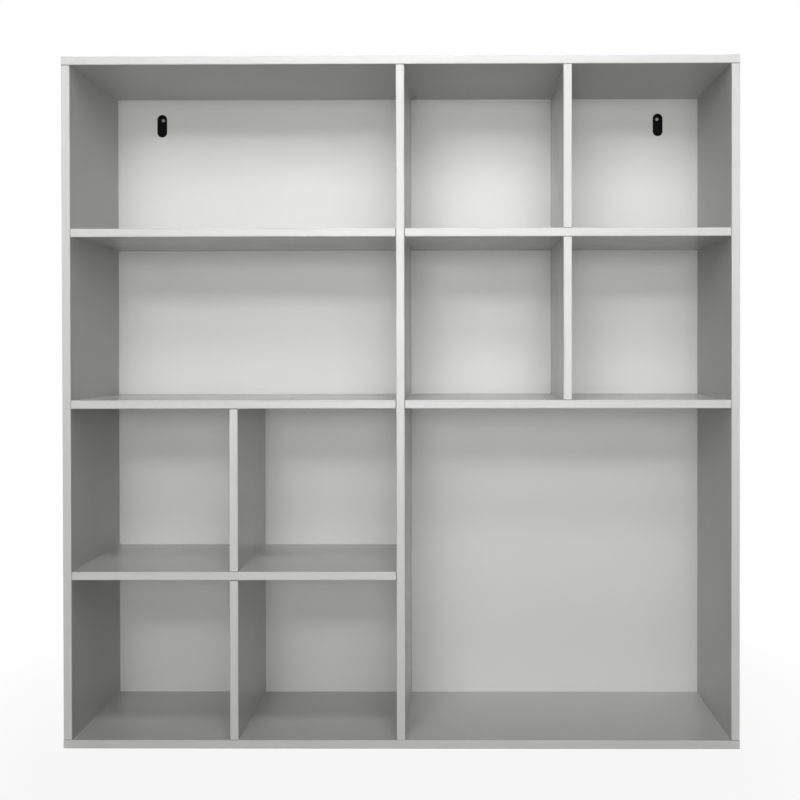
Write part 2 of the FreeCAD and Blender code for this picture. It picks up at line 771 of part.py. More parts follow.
def add_bracket(label, middle):
    left = f"{middle} - bracket_width / 2"
    body = new_body(label, (left, "back_rear", "bracket_foot"))
    outline = new_sketch(body, "XY_Plane")
    draw_rectangle(outline, "0", "0", "bracket_width", "web_rear - back_rear")
    extrude(body, "Pad", outline, "bracket_height")
    channel = new_sketch(body, "XY_Plane")
    draw_rectangle(channel, "hanger_steel", "0", "bracket_width - 2 * hanger_steel", "web_front - back_rear")
    extrude(body, "Pocket", channel, reverse=True)
    bend_place = value("web_rear - back_rear")

    def outer_bend(edge):
        # The upright edges along the rear of the web
        box = edge.BoundBox
        return max(box.XLength, abs(box.YMin - bend_place), abs(box.YMax - bend_place)) < TINY

    dress_edges(body, "Fillet", "Radius", "bracket_bend", outer_bend)
    flange = new_sketch(body, "XY_Plane", "bracket_height - hanger_steel")
    draw_rectangle(flange, "0", "0", "bracket_width", "flange_depth")
    extrude(body, "Pad", flange, "hanger_steel")
    guide = new_sketch(body, "XZ_Plane")
    draw_pill(guide, "bracket_width / 2", "guide_low", "guide_span", "guide_radius")
    extrude(body, "Pocket", guide)
    holes = new_sketch(body, "XY_Plane", "bracket_height")
    spots = [(f"bracket_width / 2 {sign} bracket_screw_spacing / 2", "bracket_screw_row - back_rear")
             for sign in "-+"]
    draw_circles(holes, spots, "bracket_screw_diameter / 2 + hole_clearance")
    extrude(body, "Pocket", holes, "hanger_steel")
    nodes.append(body)


def add_hook(label, middle):
    left = f"{middle} - hook_width / 2"
    body = new_body(label, (left, "hook_front", "clamp_rest - hook_drop"))
    profile = new_sketch(body, "YZ_Plane")
    draw_hook_profile(profile)
    extrude(body, "Pad", profile, "hook_width")
    key = new_sketch(body, "XZ_Plane")
    key_low = "hook_drop - key_drop - key_height"
    draw_rectangle(key, "(hook_width - clamp_diameter) / 2", key_low, "clamp_diameter", "key_height")
    extrude(body, "Pad", key, "key_depth")
    hole = new_sketch(body, "XZ_Plane")
    draw_circles(hole, [("hook_width / 2", "hook_drop")], "clamp_diameter / 2 + hole_clearance")
    extrude(body, "Pocket", hole, "hanger_steel")
    nodes.append(body)


def add_clamp_screw(label, middle):
    steps = [("clamp_head_diameter / 2", "clamp_head_height"), ("clamp_diameter / 2", "clamp_length")]
    face = "web_front - slide_clearance - clamp_head_height"
    body = turned_body(label, steps, (middle, face, "clamp_rest"), ENTRY["front"])
    dress_edges(body, "Fillet", "Radius", "clamp_head_round", ring_at("0"))
    for width, height in (("recess_length", "recess_width"), ("recess_width", "recess_length")):
        arm = new_sketch(body, "XY_Plane")
        draw_centred_rectangle(arm, width, height)
        extrude(body, "Pocket", arm, "recess_depth")
    nodes.append(body)


def add_clamp_nut(label, middle):
    body = new_body(label, (middle, "hook_front + hanger_steel", "clamp_rest"))
    outline = new_sketch(body, "XZ_Plane")
    draw_hexagon(outline, "nut_width")
    extrude(body, "Pad", outline, "nut_height", True)
    bore = new_sketch(body, "XZ_Plane")
    draw_bore(bore, "clamp_diameter / 2 + hole_clearance")
    extrude(body, "Pocket", bore)
    nodes.append(body)


hanger_middles = {"left": "inner_left + left_slot_inset", "right": "inner_right - right_slot_inset"}
for side, back in (("left", left_back), ("right", right_back)):
    middle = hanger_middles[side]
    slot_across = f"{middle} - ({back.base['x']})"
    slot_low = f"clamp_rest - hook_travel - ({back.base['z']})"
    back.cut("front", lambda sketch: draw_pill(sketch, slot_across, slot_low, "hook_travel", "slot_radius"))
    add_bracket(f"{side}_hanger_bracket", middle)
    add_hook(f"{side}_hook_plate", middle)
    add_clamp_screw(f"{side}_clamp_screw", middle)
    add_clamp_nut(f"{side}_clamp_nut", middle)
    for sign in "-+":
        across = f"{middle} {sign} bracket_screw_spacing / 2"
        hole_spot = (f"{across} - ({top_panel.base['x']})", "bracket_screw_row - core_front")
        top_panel.mark("bottom", hole_spot, "bracket_screw_diameter / 2 + hole_clearance",
                       "bracket_screw_length - hanger_steel + hole_end_room")
        head = "ceiling - hanger_steel - bracket_screw_head_height"
        add_fastener(f"{side}_bracket_screws", bracket_screw, (across, "bracket_screw_row", head), "bottom")

for board in boards + [left_back, right_back]:
    board.drill()
for label, copies in groups.items():
    add_group(label, copies)
doc.recompute()

# Every feature has to hold, every pocket has to cut, and every piece has to be sound
for thing in doc.Objects:
    if "Invalid" in thing.State or "Error" in thing.State:
        raise RuntimeError(f"{thing.Label} failed: {thing.State}")
    if thing.isDerivedFrom("PartDesign::Pocket") and thing.Shape.Volume >= thing.BaseFeature.Shape.Volume:
        raise RuntimeError(f"{thing.Label} cuts nothing")
    if thing.isDerivedFrom("Sketcher::SketchObject") and not thing.FullyConstrained:
        raise RuntimeError(f"{thing.Label} is not fully tied to sizes")
for node in nodes:
    if node.Shape.isNull() or not node.Shape.isValid():
        raise RuntimeError(f"{node.Label} is not a sound solid")

os.makedirs("parts", exist_ok=True)
for node in nodes:
    node.Shape.exportStep(f"parts/{node.Label}.step")
print(f"{len(nodes)} nodes, {sum(len(node.Shape.Solids) for node in nodes)} solids")
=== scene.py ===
import math

import bmesh
import bpy
from mathutils import Matrix, Vector


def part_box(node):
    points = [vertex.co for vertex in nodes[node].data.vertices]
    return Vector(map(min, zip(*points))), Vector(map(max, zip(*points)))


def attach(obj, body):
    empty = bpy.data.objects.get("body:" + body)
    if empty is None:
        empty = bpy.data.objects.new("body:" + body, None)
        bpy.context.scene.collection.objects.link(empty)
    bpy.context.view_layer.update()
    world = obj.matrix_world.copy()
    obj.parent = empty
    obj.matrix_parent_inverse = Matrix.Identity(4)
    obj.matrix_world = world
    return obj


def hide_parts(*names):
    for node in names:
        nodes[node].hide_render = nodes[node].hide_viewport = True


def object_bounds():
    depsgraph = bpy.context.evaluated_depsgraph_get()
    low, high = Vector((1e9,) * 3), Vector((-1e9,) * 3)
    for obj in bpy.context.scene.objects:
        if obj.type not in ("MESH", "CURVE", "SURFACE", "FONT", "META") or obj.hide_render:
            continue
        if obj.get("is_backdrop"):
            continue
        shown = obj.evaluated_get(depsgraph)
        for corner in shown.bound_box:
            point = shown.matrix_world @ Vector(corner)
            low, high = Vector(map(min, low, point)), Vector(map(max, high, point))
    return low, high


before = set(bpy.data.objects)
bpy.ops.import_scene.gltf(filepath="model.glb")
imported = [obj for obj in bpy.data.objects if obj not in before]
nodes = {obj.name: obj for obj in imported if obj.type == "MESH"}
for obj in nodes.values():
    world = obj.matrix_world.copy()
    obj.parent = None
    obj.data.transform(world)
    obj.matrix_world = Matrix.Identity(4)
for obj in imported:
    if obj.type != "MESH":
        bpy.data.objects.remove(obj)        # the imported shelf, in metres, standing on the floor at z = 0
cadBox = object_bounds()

mm = 0.001
scene = bpy.context.scene
scene.view_settings.view_transform = "Standard"


def linearColour(hexText):
    # sRGB hex to the linear values that sockets take
    parts = [int(hexText[start:start + 2], 16) / 255 for start in (1, 3, 5)]
    return (*[part / 12.92 if part <= 0.04045 else ((part + 0.055) / 1.055) ** 2.4 for part in parts], 1)


def addNode(tree, kind, inputs=None, **settings):
    # one node with its settings, and each input either linked or set
    node = tree.nodes.new(kind)
    for name, setting in settings.items():
        setattr(node, name, setting)
    for socket, given in (inputs or {}).items():
        if isinstance(given, bpy.types.NodeSocket):
            tree.links.new(given, node.inputs[socket])
        else:
            node.inputs[socket].default_value = given
    return node


def perSize(size):
    # texture scale that makes one feature this many millimetres wide
    return 1 / (size * mm)


def newFinish(name, **sockets):
    # a material with its fixed values on the shader, ready for its patterns
    finish = bpy.data.materials.new(name)
    finish.use_nodes = True
    tree = finish.node_tree
    shader = tree.nodes["Principled BSDF"]
    for socket, value in sockets.items():
        shader.inputs[socket.replace("_", " ")].default_value = value
    where = addNode(tree, "ShaderNodeTexCoord")
    return finish, tree, shader, where


def linkShader(tree, shader, **sources):
    # each source is a node whose first output drives that socket
    for socket, source in sources.items():
        tree.links.new(source.outputs[0], shader.inputs[socket.replace("_", " ")])


# Materials

noiseSpan = {"From Min": 0.3, "From Max": 0.7}  # where most values of a noise lie


# Melamine-faced particleboard: a pressed resin paper with a fine pearl grain, satin, nearly neutral.
# The eye sees broad soft reflections, faint clouds in the paper and, on raw edges, wood chips.
melamine = {
    # the white paper is drawn light grey, darker than its bands: painted shade over every board face
    "paper": "#BEBEBD",
    "paperCloud": "#BABAB9",
    "cloudSize": 110,
    "pearlSize": 2.2,  # the real grain is about 0.5 mm, drawn coarser so that it shows
    "pearlDepth": 0.035,
    "roughness": (0.19, 0.265),
    "smudgeSize": 160,
    "coreRoughness": 0.9,
    "chipLength": 5,
    "chipThickness": 1.1,
    "chipPale": "#CDB388",
    "chipDark": "#8A6A45",
    "chipDepth": 0.25,
    # painted shade: the front edges behind the bands, seen in the seam gaps, drawn near black
    "paintedSeamShade": "#1E1D1C",
    "faceCosine": 0.7,
}
mattMelamine = {**melamine, "roughness": (0.42, 0.52)}  # top and sides mirror less than the shelves


def melamineBoard(name, faceAxis, look=melamine):
    finish, tree, shader, where = newFinish(name, IOR=1.5)
    place = where.outputs["Object"]
    cloud = addNode(tree, "ShaderNodeTexNoise", {
        "Vector": place, "Scale": perSize(look["cloudSize"]), "Detail": 4})
    paper = addNode(tree, "ShaderNodeMixRGB", {
        "Fac": cloud.outputs["Fac"],
        "Color1": linearColour(look["paper"]),
        "Color2": linearColour(look["paperCloud"])})
    # wood chips lie flat between the faces
    flat = [perSize(look["chipLength"])] * 3
    flat["XYZ".index(faceAxis)] = perSize(look["chipThickness"])
    pressed = addNode(tree, "ShaderNodeMapping", {"Vector": place, "Scale": flat})
    chips = addNode(tree, "ShaderNodeTexVoronoi", {"Vector": pressed.outputs[0], "Scale": 1})
    chipShade = addNode(tree, "ShaderNodeSeparateColor", {"Color": chips.outputs["Color"]})
    core = addNode(tree, "ShaderNodeMixRGB", {
        "Fac": chipShade.outputs[0],
        "Color1": linearColour(look["chipPale"]),
        "Color2": linearColour(look["chipDark"])})
    # the front edge, seen only down the seam gaps, is painted near black: painted shade for the seams
    facing = addNode(tree, "ShaderNodeSeparateXYZ", {"Vector": where.outputs["Normal"]})
    front = addNode(tree, "ShaderNodeMath", {
        0: facing.outputs["Y"], 1: -look["faceCosine"]}, operation="LESS_THAN")
    edge = addNode(tree, "ShaderNodeMixRGB", {
        "Fac": front.outputs[0], "Color1": core.outputs[0], "Color2": linearColour(look["paintedSeamShade"])})
    # faced where the surface looks along the board's thickness, raw everywhere else
    turned = addNode(tree, "ShaderNodeMath", {0: facing.outputs[faceAxis]}, operation="ABSOLUTE")
    faced = addNode(tree, "ShaderNodeMath", {
        0: turned.outputs[0], 1: look["faceCosine"]}, operation="GREATER_THAN")
    colour = addNode(tree, "ShaderNodeMixRGB", {
        "Fac": faced.outputs[0], "Color1": edge.outputs[0], "Color2": paper.outputs[0]})
    smudge = addNode(tree, "ShaderNodeTexNoise", {
        "Vector": place, "Scale": perSize(look["smudgeSize"]), "Detail": 5, "Roughness": 0.6})
    satin = addNode(tree, "ShaderNodeMapRange", {
        **noiseSpan, "Value": smudge.outputs["Fac"],
        "To Min": look["roughness"][0], "To Max": look["roughness"][1]})
    rough = addNode(tree, "ShaderNodeMix", {
        0: faced.outputs[0], 2: look["coreRoughness"], 3: satin.outputs[0]}, data_type="FLOAT")
    pearl = addNode(tree, "ShaderNodeTexNoise", {
        "Vector": place, "Scale": perSize(look["pearlSize"]), "Detail": 2})
    relief = addNode(tree, "ShaderNodeMix", {
        0: faced.outputs[0], 2: chips.outputs["Distance"], 3: pearl.outputs["Fac"]}, data_type="FLOAT")
    depth = addNode(tree, "ShaderNodeMix", {
        0: faced.outputs[0], 2: look["chipDepth"] * mm, 3: look["pearlDepth"] * mm}, data_type="FLOAT")
    bump = addNode(tree, "ShaderNodeBump", {
        "Height": relief.outputs[0], "Distance": depth.outputs[0], "Strength": 1})
    linkShader(tree, shader, Base_Color=colour, Roughness=rough, Normal=bump)
    return finish


# ABS edge band: extruded, glued on and scraped flush, satin.
# The eye sees a brighter rounded line with faint scraper marks along it and a thin glue line behind it.
edging = {
    "plastic": "#E2E2E1",
    "plasticWorn": "#DCDCDB",
    "wearSize": 70,
    "scrapeLength": 120,
    "scrapeWidth": 0.9,  # real marks are a few hundredths wide, drawn coarser so that they show
    "scrapeDepth": 0.012,
    "roughness": (0.28, 0.4),
    "glue": "#A9A8A2",
    "glueWidth": 0.18,
}


def absBand(name, runAxis):
    look = edging
    finish, tree, shader, where = newFinish(name, IOR=1.53)
    place = where.outputs["Object"]
    wear = addNode(tree, "ShaderNodeTexNoise", {
        "Vector": place, "Scale": perSize(look["wearSize"]), "Detail": 5})
    plastic = addNode(tree, "ShaderNodeMixRGB", {
        "Fac": wear.outputs["Fac"],
        "Color1": linearColour(look["plastic"]),
        "Color2": linearColour(look["plasticWorn"])})
    # the glue line lies where the band meets the front and the ends of the boards
    coreLow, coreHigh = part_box("top_panel")
    spot = addNode(tree, "ShaderNodeSeparateXYZ", {"Vector": place})
    behind = addNode(tree, "ShaderNodeMath", {
        0: spot.outputs["Y"], 1: coreLow.y - look["glueWidth"] * mm}, operation="GREATER_THAN")
    side = addNode(tree, "ShaderNodeMath", {0: spot.outputs["X"]}, operation="ABSOLUTE")
    within = addNode(tree, "ShaderNodeMath", {
        0: side.outputs[0], 1: coreHigh.x + look["glueWidth"] * mm}, operation="LESS_THAN")
    glued = addNode(tree, "ShaderNodeMath", {
        0: behind.outputs[0], 1: within.outputs[0]}, operation="MULTIPLY")
    colour = addNode(tree, "ShaderNodeMixRGB", {
        "Fac": glued.outputs[0], "Color1": plastic.outputs[0], "Color2": linearColour(look["glue"])})
    stretch = [perSize(look["scrapeWidth"])] * 3
    stretch["XYZ".index(runAxis)] = perSize(look["scrapeLength"])
    along = addNode(tree, "ShaderNodeMapping", {"Vector": place, "Scale": stretch})
    marks = addNode(tree, "ShaderNodeTexNoise", {"Vector": along.outputs[0], "Scale": 1, "Detail": 3})
    satin = addNode(tree, "ShaderNodeMapRange", {
        **noiseSpan, "Value": marks.outputs["Fac"],
        "To Min": look["roughness"][0], "To Max": look["roughness"][1]})
    bump = addNode(tree, "ShaderNodeBump", {
        "Height": marks.outputs["Fac"], "Distance": look["scrapeDepth"] * mm, "Strength": 1})
    linkShader(tree, shader, Base_Color=colour, Roughness=satin, Normal=bump)
    return finish


# Hardboard back: pressed brown wood fibre with a white lacquered face towards the compartments.
# The eye sees a matt, even white in front, and felted brown fibres behind and in the cut slots.
hardboard = {
    "lacquer": "#F0F0EE",
    "lacquerCloud": "#EDEDEB",
    "cloudSize": 150,
    "rollerSize": 3,  # real roller stipple is near 1 mm, drawn coarser so that it shows
    "rollerDepth": 0.02,
    "fibrePale": "#9A7650",
    "fibreDark": "#6F5034",
    "fibreSize": 2.5,
    "blotchSize": 60,
    "fibreDepth": 0.08,
    "feltSpan": (0.5, 1.5),  # of fibres and blotches added up
    "roughness": (0.42, 0.52),
    "rearRoughness": 0.75,
    "frontCosine": -0.7,
}


def hardboardBack():
    look = hardboard
    finish, tree, shader, where = newFinish("lacqueredHardboard", IOR=1.48)
    place = where.outputs["Object"]
    cloud = addNode(tree, "ShaderNodeTexNoise", {
        "Vector": place, "Scale": perSize(look["cloudSize"]), "Detail": 3})
    lacquer = addNode(tree, "ShaderNodeMixRGB", {
        "Fac": cloud.outputs["Fac"],
        "Color1": linearColour(look["lacquer"]),
        "Color2": linearColour(look["lacquerCloud"])})
    fibres = addNode(tree, "ShaderNodeTexNoise", {
        "Vector": place, "Scale": perSize(look["fibreSize"]), "Detail": 6, "Roughness": 0.7,
        "Distortion": 1.5})
    blotch = addNode(tree, "ShaderNodeTexNoise", {
        "Vector": place, "Scale": perSize(look["blotchSize"]), "Detail": 3})
    felt = addNode(tree, "ShaderNodeMath", {
        0: fibres.outputs["Fac"], 1: blotch.outputs["Fac"]}, operation="ADD")
    shade = addNode(tree, "ShaderNodeMapRange", {
        "Value": felt.outputs[0], "From Min": look["feltSpan"][0], "From Max": look["feltSpan"][1]})
    brown = addNode(tree, "ShaderNodeMixRGB", {
        "Fac": shade.outputs[0],
        "Color1": linearColour(look["fibreDark"]),
        "Color2": linearColour(look["fibrePale"])})
    facing = addNode(tree, "ShaderNodeSeparateXYZ", {"Vector": where.outputs["Normal"]})
    front = addNode(tree, "ShaderNodeMath", {
        0: facing.outputs["Y"], 1: look["frontCosine"]}, operation="LESS_THAN")
    colour = addNode(tree, "ShaderNodeMixRGB", {
        "Fac": front.outputs[0], "Color1": brown.outputs[0], "Color2": lacquer.outputs[0]})
    matt = addNode(tree, "ShaderNodeMapRange", {
        **noiseSpan, "Value": blotch.outputs["Fac"],
        "To Min": look["roughness"][0], "To Max": look["roughness"][1]})
    rough = addNode(tree, "ShaderNodeMix", {
        0: front.outputs[0], 2: look["rearRoughness"], 3: matt.outputs[0]}, data_type="FLOAT")
    roller = addNode(tree, "ShaderNodeTexNoise", {
        "Vector": place, "Scale": perSize(look["rollerSize"]), "Detail": 2})
    relief = addNode(tree, "ShaderNodeMix", {
        0: front.outputs[0], 2: fibres.outputs["Fac"], 3: roller.outputs["Fac"]}, data_type="FLOAT")
    depth = addNode(tree, "ShaderNodeMix", {
        0: front.outputs[0], 2: look["fibreDepth"] * mm, 3: look["rollerDepth"] * mm}, data_type="FLOAT")
    bump = addNode(tree, "ShaderNodeBump", {
        "Height": relief.outputs[0], "Distance": depth.outputs[0], "Strength": 1})
    linkShader(tree, shader, Base_Color=colour, Roughness=rough, Normal=bump)
    return finish


# Plain finishes that differ only in their values: a colour that drifts, and a grain with its depth.
# Black powder coat: baked on, a matt fine-textured skin that swallows light.
# Zinc plating: dulled by its passivation, faintly blue, a little uneven.
# Moulded polypropylene and extruded PVC: even white plastic with a fine skin.
plainFinishes = {
    "blackPowderCoat": {
        "colours": ("#060607", "#0B0C0D"), "driftSize": 30, "grainSize": 1.4, "grainDepth": 0.05,
        "roughness": (0.62, 0.78), "shader": {"IOR": 1.5, "Specular_IOR_Level": 0.15}},
    "dulledZincPlate": {
        "colours": ("#B0B4B6", "#93979A"), "driftSize": 4, "grainSize": 0.8, "grainDepth": 0.01,
        "roughness": (0.3, 0.42), "shader": {"Metallic": 1}},
    "zincPlatedSteel": {
        "colours": ("#C3C7CA", "#A4A9AD"), "driftSize": 5, "grainSize": 1, "grainDepth": 0.015,
        "roughness": (0.28, 0.45), "shader": {"Metallic": 1}},
    "mouldedPolypropylene": {
        "colours": ("#ECECEA", "#E6E6E4"), "driftSize": 12, "grainSize": 0.7, "grainDepth": 0.02,
        "roughness": (0.34, 0.44), "shader": {"IOR": 1.49}},
    "extrudedPvc": {
        "colours": ("#E8E8E4", "#DEDEDA"), "driftSize": 40, "grainSize": 1.5, "grainDepth": 0.02,
        "roughness": (0.3, 0.42), "shader": {"IOR": 1.53}},
}


def plainFinish(name):
    look = plainFinishes[name]
    finish, tree, shader, where = newFinish(name, **look["shader"])
    place = where.outputs["Object"]
    drift = addNode(tree, "ShaderNodeTexNoise", {
        "Vector": place, "Scale": perSize(look["driftSize"]), "Detail": 5})
    colour = addNode(tree, "ShaderNodeMixRGB", {
        "Fac": drift.outputs["Fac"],
        "Color1": linearColour(look["colours"][0]),
        "Color2": linearColour(look["colours"][1])})
    grain = addNode(tree, "ShaderNodeTexNoise", {
        "Vector": place, "Scale": perSize(look["grainSize"]), "Detail": 2})
    sheen = addNode(tree, "ShaderNodeMapRange", {
        **noiseSpan, "Value": drift.outputs["Fac"],
        "To Min": look["roughness"][0], "To Max": look["roughness"][1]})
    bump = addNode(tree, "ShaderNodeBump", {
        "Height": grain.outputs["Fac"], "Distance": look["grainDepth"] * mm, "Strength": 1})
    linkShader(tree, shader, Base_Color=colour, Roughness=sheen, Normal=bump)
    return finish


# Beech: turned and fluted dowel stock, pale pinkish brown with short dark pores along the grain.
beech = {
    "pale": "#D9B48A",
    "dark": "#B98D61",
    "ringSize": 2.2,
    "ringLength": 24,
    "poreLength": 3,
    "poreWidth": 0.25,
    "poreSpan": (0.6, 0.7),
    "pore": "#8A623F",
    "roughness": 0.62,
    "grainDepth": 0.04,
}


def beechWood():
    look = beech
    finish, tree, shader, where = newFinish("beechDowel", Roughness=look["roughness"])
    own = addNode(tree, "ShaderNodeAttribute", attribute_name="dowelPlace").outputs["Vector"]
    ringScale = (perSize(look["ringSize"]), perSize(look["ringSize"]), perSize(look["ringLength"]))
    rings = addNode(tree, "ShaderNodeMapping", {"Vector": own, "Scale": ringScale})
    grain = addNode(tree, "ShaderNodeTexNoise", {"Vector": rings.outputs[0], "Scale": 1, "Detail": 3})
    wood = addNode(tree, "ShaderNodeMixRGB", {
        "Fac": grain.outputs["Fac"],
        "Color1": linearColour(look["pale"]),
        "Color2": linearColour(look["dark"])})
    poreScale = (perSize(look["poreWidth"]), perSize(look["poreWidth"]), perSize(look["poreLength"]))
    pores = addNode(tree, "ShaderNodeMapping", {"Vector": own, "Scale": poreScale})
    dashes = addNode(tree, "ShaderNodeTexNoise", {"Vector": pores.outputs[0], "Scale": 1, "Detail": 1})
    openPores = addNode(tree, "ShaderNodeMapRange", {
        "Value": dashes.outputs["Fac"],
        "From Min": look["poreSpan"][0], "From Max": look["poreSpan"][1]})
    colour = addNode(tree, "ShaderNodeMixRGB", {
        "Fac": openPores.outputs[0], "Color1": wood.outputs[0], "Color2": linearColour(look["pore"])})
    bump = addNode(tree, "ShaderNodeBump", {
        "Height": dashes.outputs["Fac"], "Distance": look["grainDepth"] * mm, "Strength": 1})
    linkShader(tree, shader, Base_Color=colour, Normal=bump)
    return finish


levelBoard = melamineBoard("melamineBoardLevel", "Z")
uprightBoard = melamineBoard("melamineBoardUpright", "X")
topBoard = melamineBoard("mattMelamineBoardLevel", "Z", mattMelamine)
sideBoard = melamineBoard("mattMelamineBoardUpright", "X", mattMelamine)
levelBand = absBand("absEdgeBandLevel", "X")
uprightBand = absBand("absEdgeBandUpright", "Z")
outerBoards = {"top_panel": topBoard, "left_side_panel": sideBoard, "right_side_panel": sideBoard}
slotFinishes = {
    "back_board": hardboardBack(),
    "black_steel": plainFinish("blackPowderCoat"),
    "bright_zinc": plainFinish("dulledZincPlate"),
    "zinc_screw": plainFinish("zincPlatedSteel"),
    "cap_plastic": plainFinish("mouldedPolypropylene"),
    "joiner_strip": plainFinish("extrudedPvc"),
    "dowel_wood": beechWood(),
}


def dressNode(node, finish):
    node.data.materials.clear()
    node.data.materials.append(finish)


for name, node in nodes.items():
    slotName = node.data.materials[0].name
    low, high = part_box(name)
    size = high - low
    if name in outerBoards:
        dressNode(node, outerBoards[name])
    elif slotName == "faced_board":
        dressNode(node, levelBoard if size.z < size.x else uprightBoard)
    elif slotName == "edge_band":
        dressNode(node, levelBand if size.z < size.x else uprightBand)
    else:
        dressNode(node, slotFinishes[slotName])
print("finishes:", len(bpy.data.materials), "materials")


# Fasteners: each kind is a geometry tree that turns spots into pieces, head at the spot and body behind it

fastenerMesh = {
    "turnSegments": 24,
    "capSegments": 32,
    "nutSegments": 48,
    "boreSegments": 32,
    "headRoundSteps": 5,
    "capRoundSteps": 4,
    "threadSteps": 16,  # on each turn of the thread
    "threadSides": 4,
    "poleRadius": 0.0001,
    "weldDistance": 0.002,
    "spotWeld": 0.001,
    "creaseAngle": 32,
}


def newTree(name, sizes):
    tree = bpy.data.node_groups.new(name, "GeometryNodeTree")
    tree.interface.new_socket("Geometry", in_out="OUTPUT", socket_type="NodeSocketGeometry")
    tree.interface.new_socket("Geometry", in_out="INPUT", socket_type="NodeSocketGeometry")
    for size in sizes:
        tree.interface.new_socket(size, in_out="INPUT", socket_type="NodeSocketFloat")
    tree.interface.new_socket("Spin Seed", in_out="INPUT", socket_type="NodeSocketInt")
    tree.interface.new_socket("Finish", in_out="INPUT", socket_type="NodeSocketMaterial")
    return tree, addNode(tree, "NodeGroupInput").outputs


def sumUp(tree, *terms):
    # running total of sockets or numbers
    total = terms[0]
    for term in terms[1:]:
        total = addNode(tree, "ShaderNodeMath", {0: total, 1: term}, operation="ADD").outputs[0]
    return total


def half(tree, source):
    return addNode(tree, "ShaderNodeMath", {0: source, 1: 0.5}, operation="MULTIPLY").outputs[0]


def polyLine(tree, corners):
    # a curve through corners given as (from the axis, down from the head)
    index = addNode(tree, "GeometryNodeInputIndex").outputs[0]
    pick = addNode(tree, "GeometryNodeIndexSwitch", {"Index": index}, data_type="VECTOR")
    while len(pick.index_switch_items) < len(corners):
        pick.index_switch_items.new()
    for number, (across, down) in enumerate(corners):
        corner = addNode(tree, "ShaderNodeCombineXYZ", {"X": across, "Y": down})
        tree.links.new(corner.outputs[0], pick.inputs[str(number)])
    line = addNode(tree, "GeometryNodeMeshLine", {"Count": len(corners)})
    bent = addNode(tree, "GeometryNodeSetPosition", {
        "Geometry": line.outputs[0], "Position": pick.outputs[0]})
    return addNode(tree, "GeometryNodeMeshToCurve", {"Mesh": bent.outputs[0]}).outputs[0]


def turn(tree, profile, segments=fastenerMesh["turnSegments"]):
    # the profile swept round the axis, with its poles welded
    hub = addNode(tree, "GeometryNodeCurvePrimitiveCircle", {
        "Resolution": segments, "Radius": fastenerMesh["poleRadius"] * mm})
    swept = addNode(tree, "GeometryNodeCurveToMesh", {"Curve": hub.outputs[0], "Profile Curve": profile})
    welded = addNode(tree, "GeometryNodeMergeByDistance", {
        "Geometry": swept.outputs[0], "Distance": fastenerMesh["weldDistance"] * mm})
    return welded.outputs[0]


def spread(tree, ports, shape, fullTurn=math.tau):
    # one piece at every spot, facing outwards, turned by chance about its own axis
    outward = addNode(tree, "GeometryNodeInputNamedAttribute", {
        "Name": "outward"}, data_type="FLOAT_VECTOR")
    faced = addNode(tree, "FunctionNodeAlignRotationToVector", {"Vector": outward.outputs[0]}, axis="Z")
    chance = addNode(tree, "FunctionNodeRandomValue", {"Max": fullTurn, "Seed": ports["Spin Seed"]})
    spin = addNode(tree, "FunctionNodeAxisAngleToRotation", {"Axis": (0, 0, 1), "Angle": chance.outputs[1]})
    turned = addNode(tree, "FunctionNodeRotateRotation", {
        "Rotation": faced.outputs[0], "Rotate By": spin.outputs[0]}, rotation_space="LOCAL")
    placed = addNode(tree, "GeometryNodeInstanceOnPoints", {
        "Points": ports["Geometry"], "Instance": shape, "Rotation": turned.outputs[0]})
    real = addNode(tree, "GeometryNodeRealizeInstances", {"Geometry": placed.outputs[0]})
    bend = addNode(tree, "GeometryNodeInputMeshEdgeAngle")
    crease = addNode(tree, "FunctionNodeCompare", {
        "A": bend.outputs[0], "B": math.radians(fastenerMesh["creaseAngle"])})
    smooth = addNode(tree, "GeometryNodeSetShadeSmooth", {
        "Geometry": real.outputs[0], "Shade Smooth": True})
    sharp = addNode(tree, "GeometryNodeSetShadeSmooth", {
        "Geometry": smooth.outputs[0], "Selection": crease.outputs[0], "Shade Smooth": False},
        domain="EDGE")
    finished = addNode(tree, "GeometryNodeSetMaterial", {
        "Geometry": sharp.outputs[0], "Material": ports["Finish"]})
    addNode(tree, "NodeGroupOutput", {"Geometry": finished.outputs[0]})
    return tree


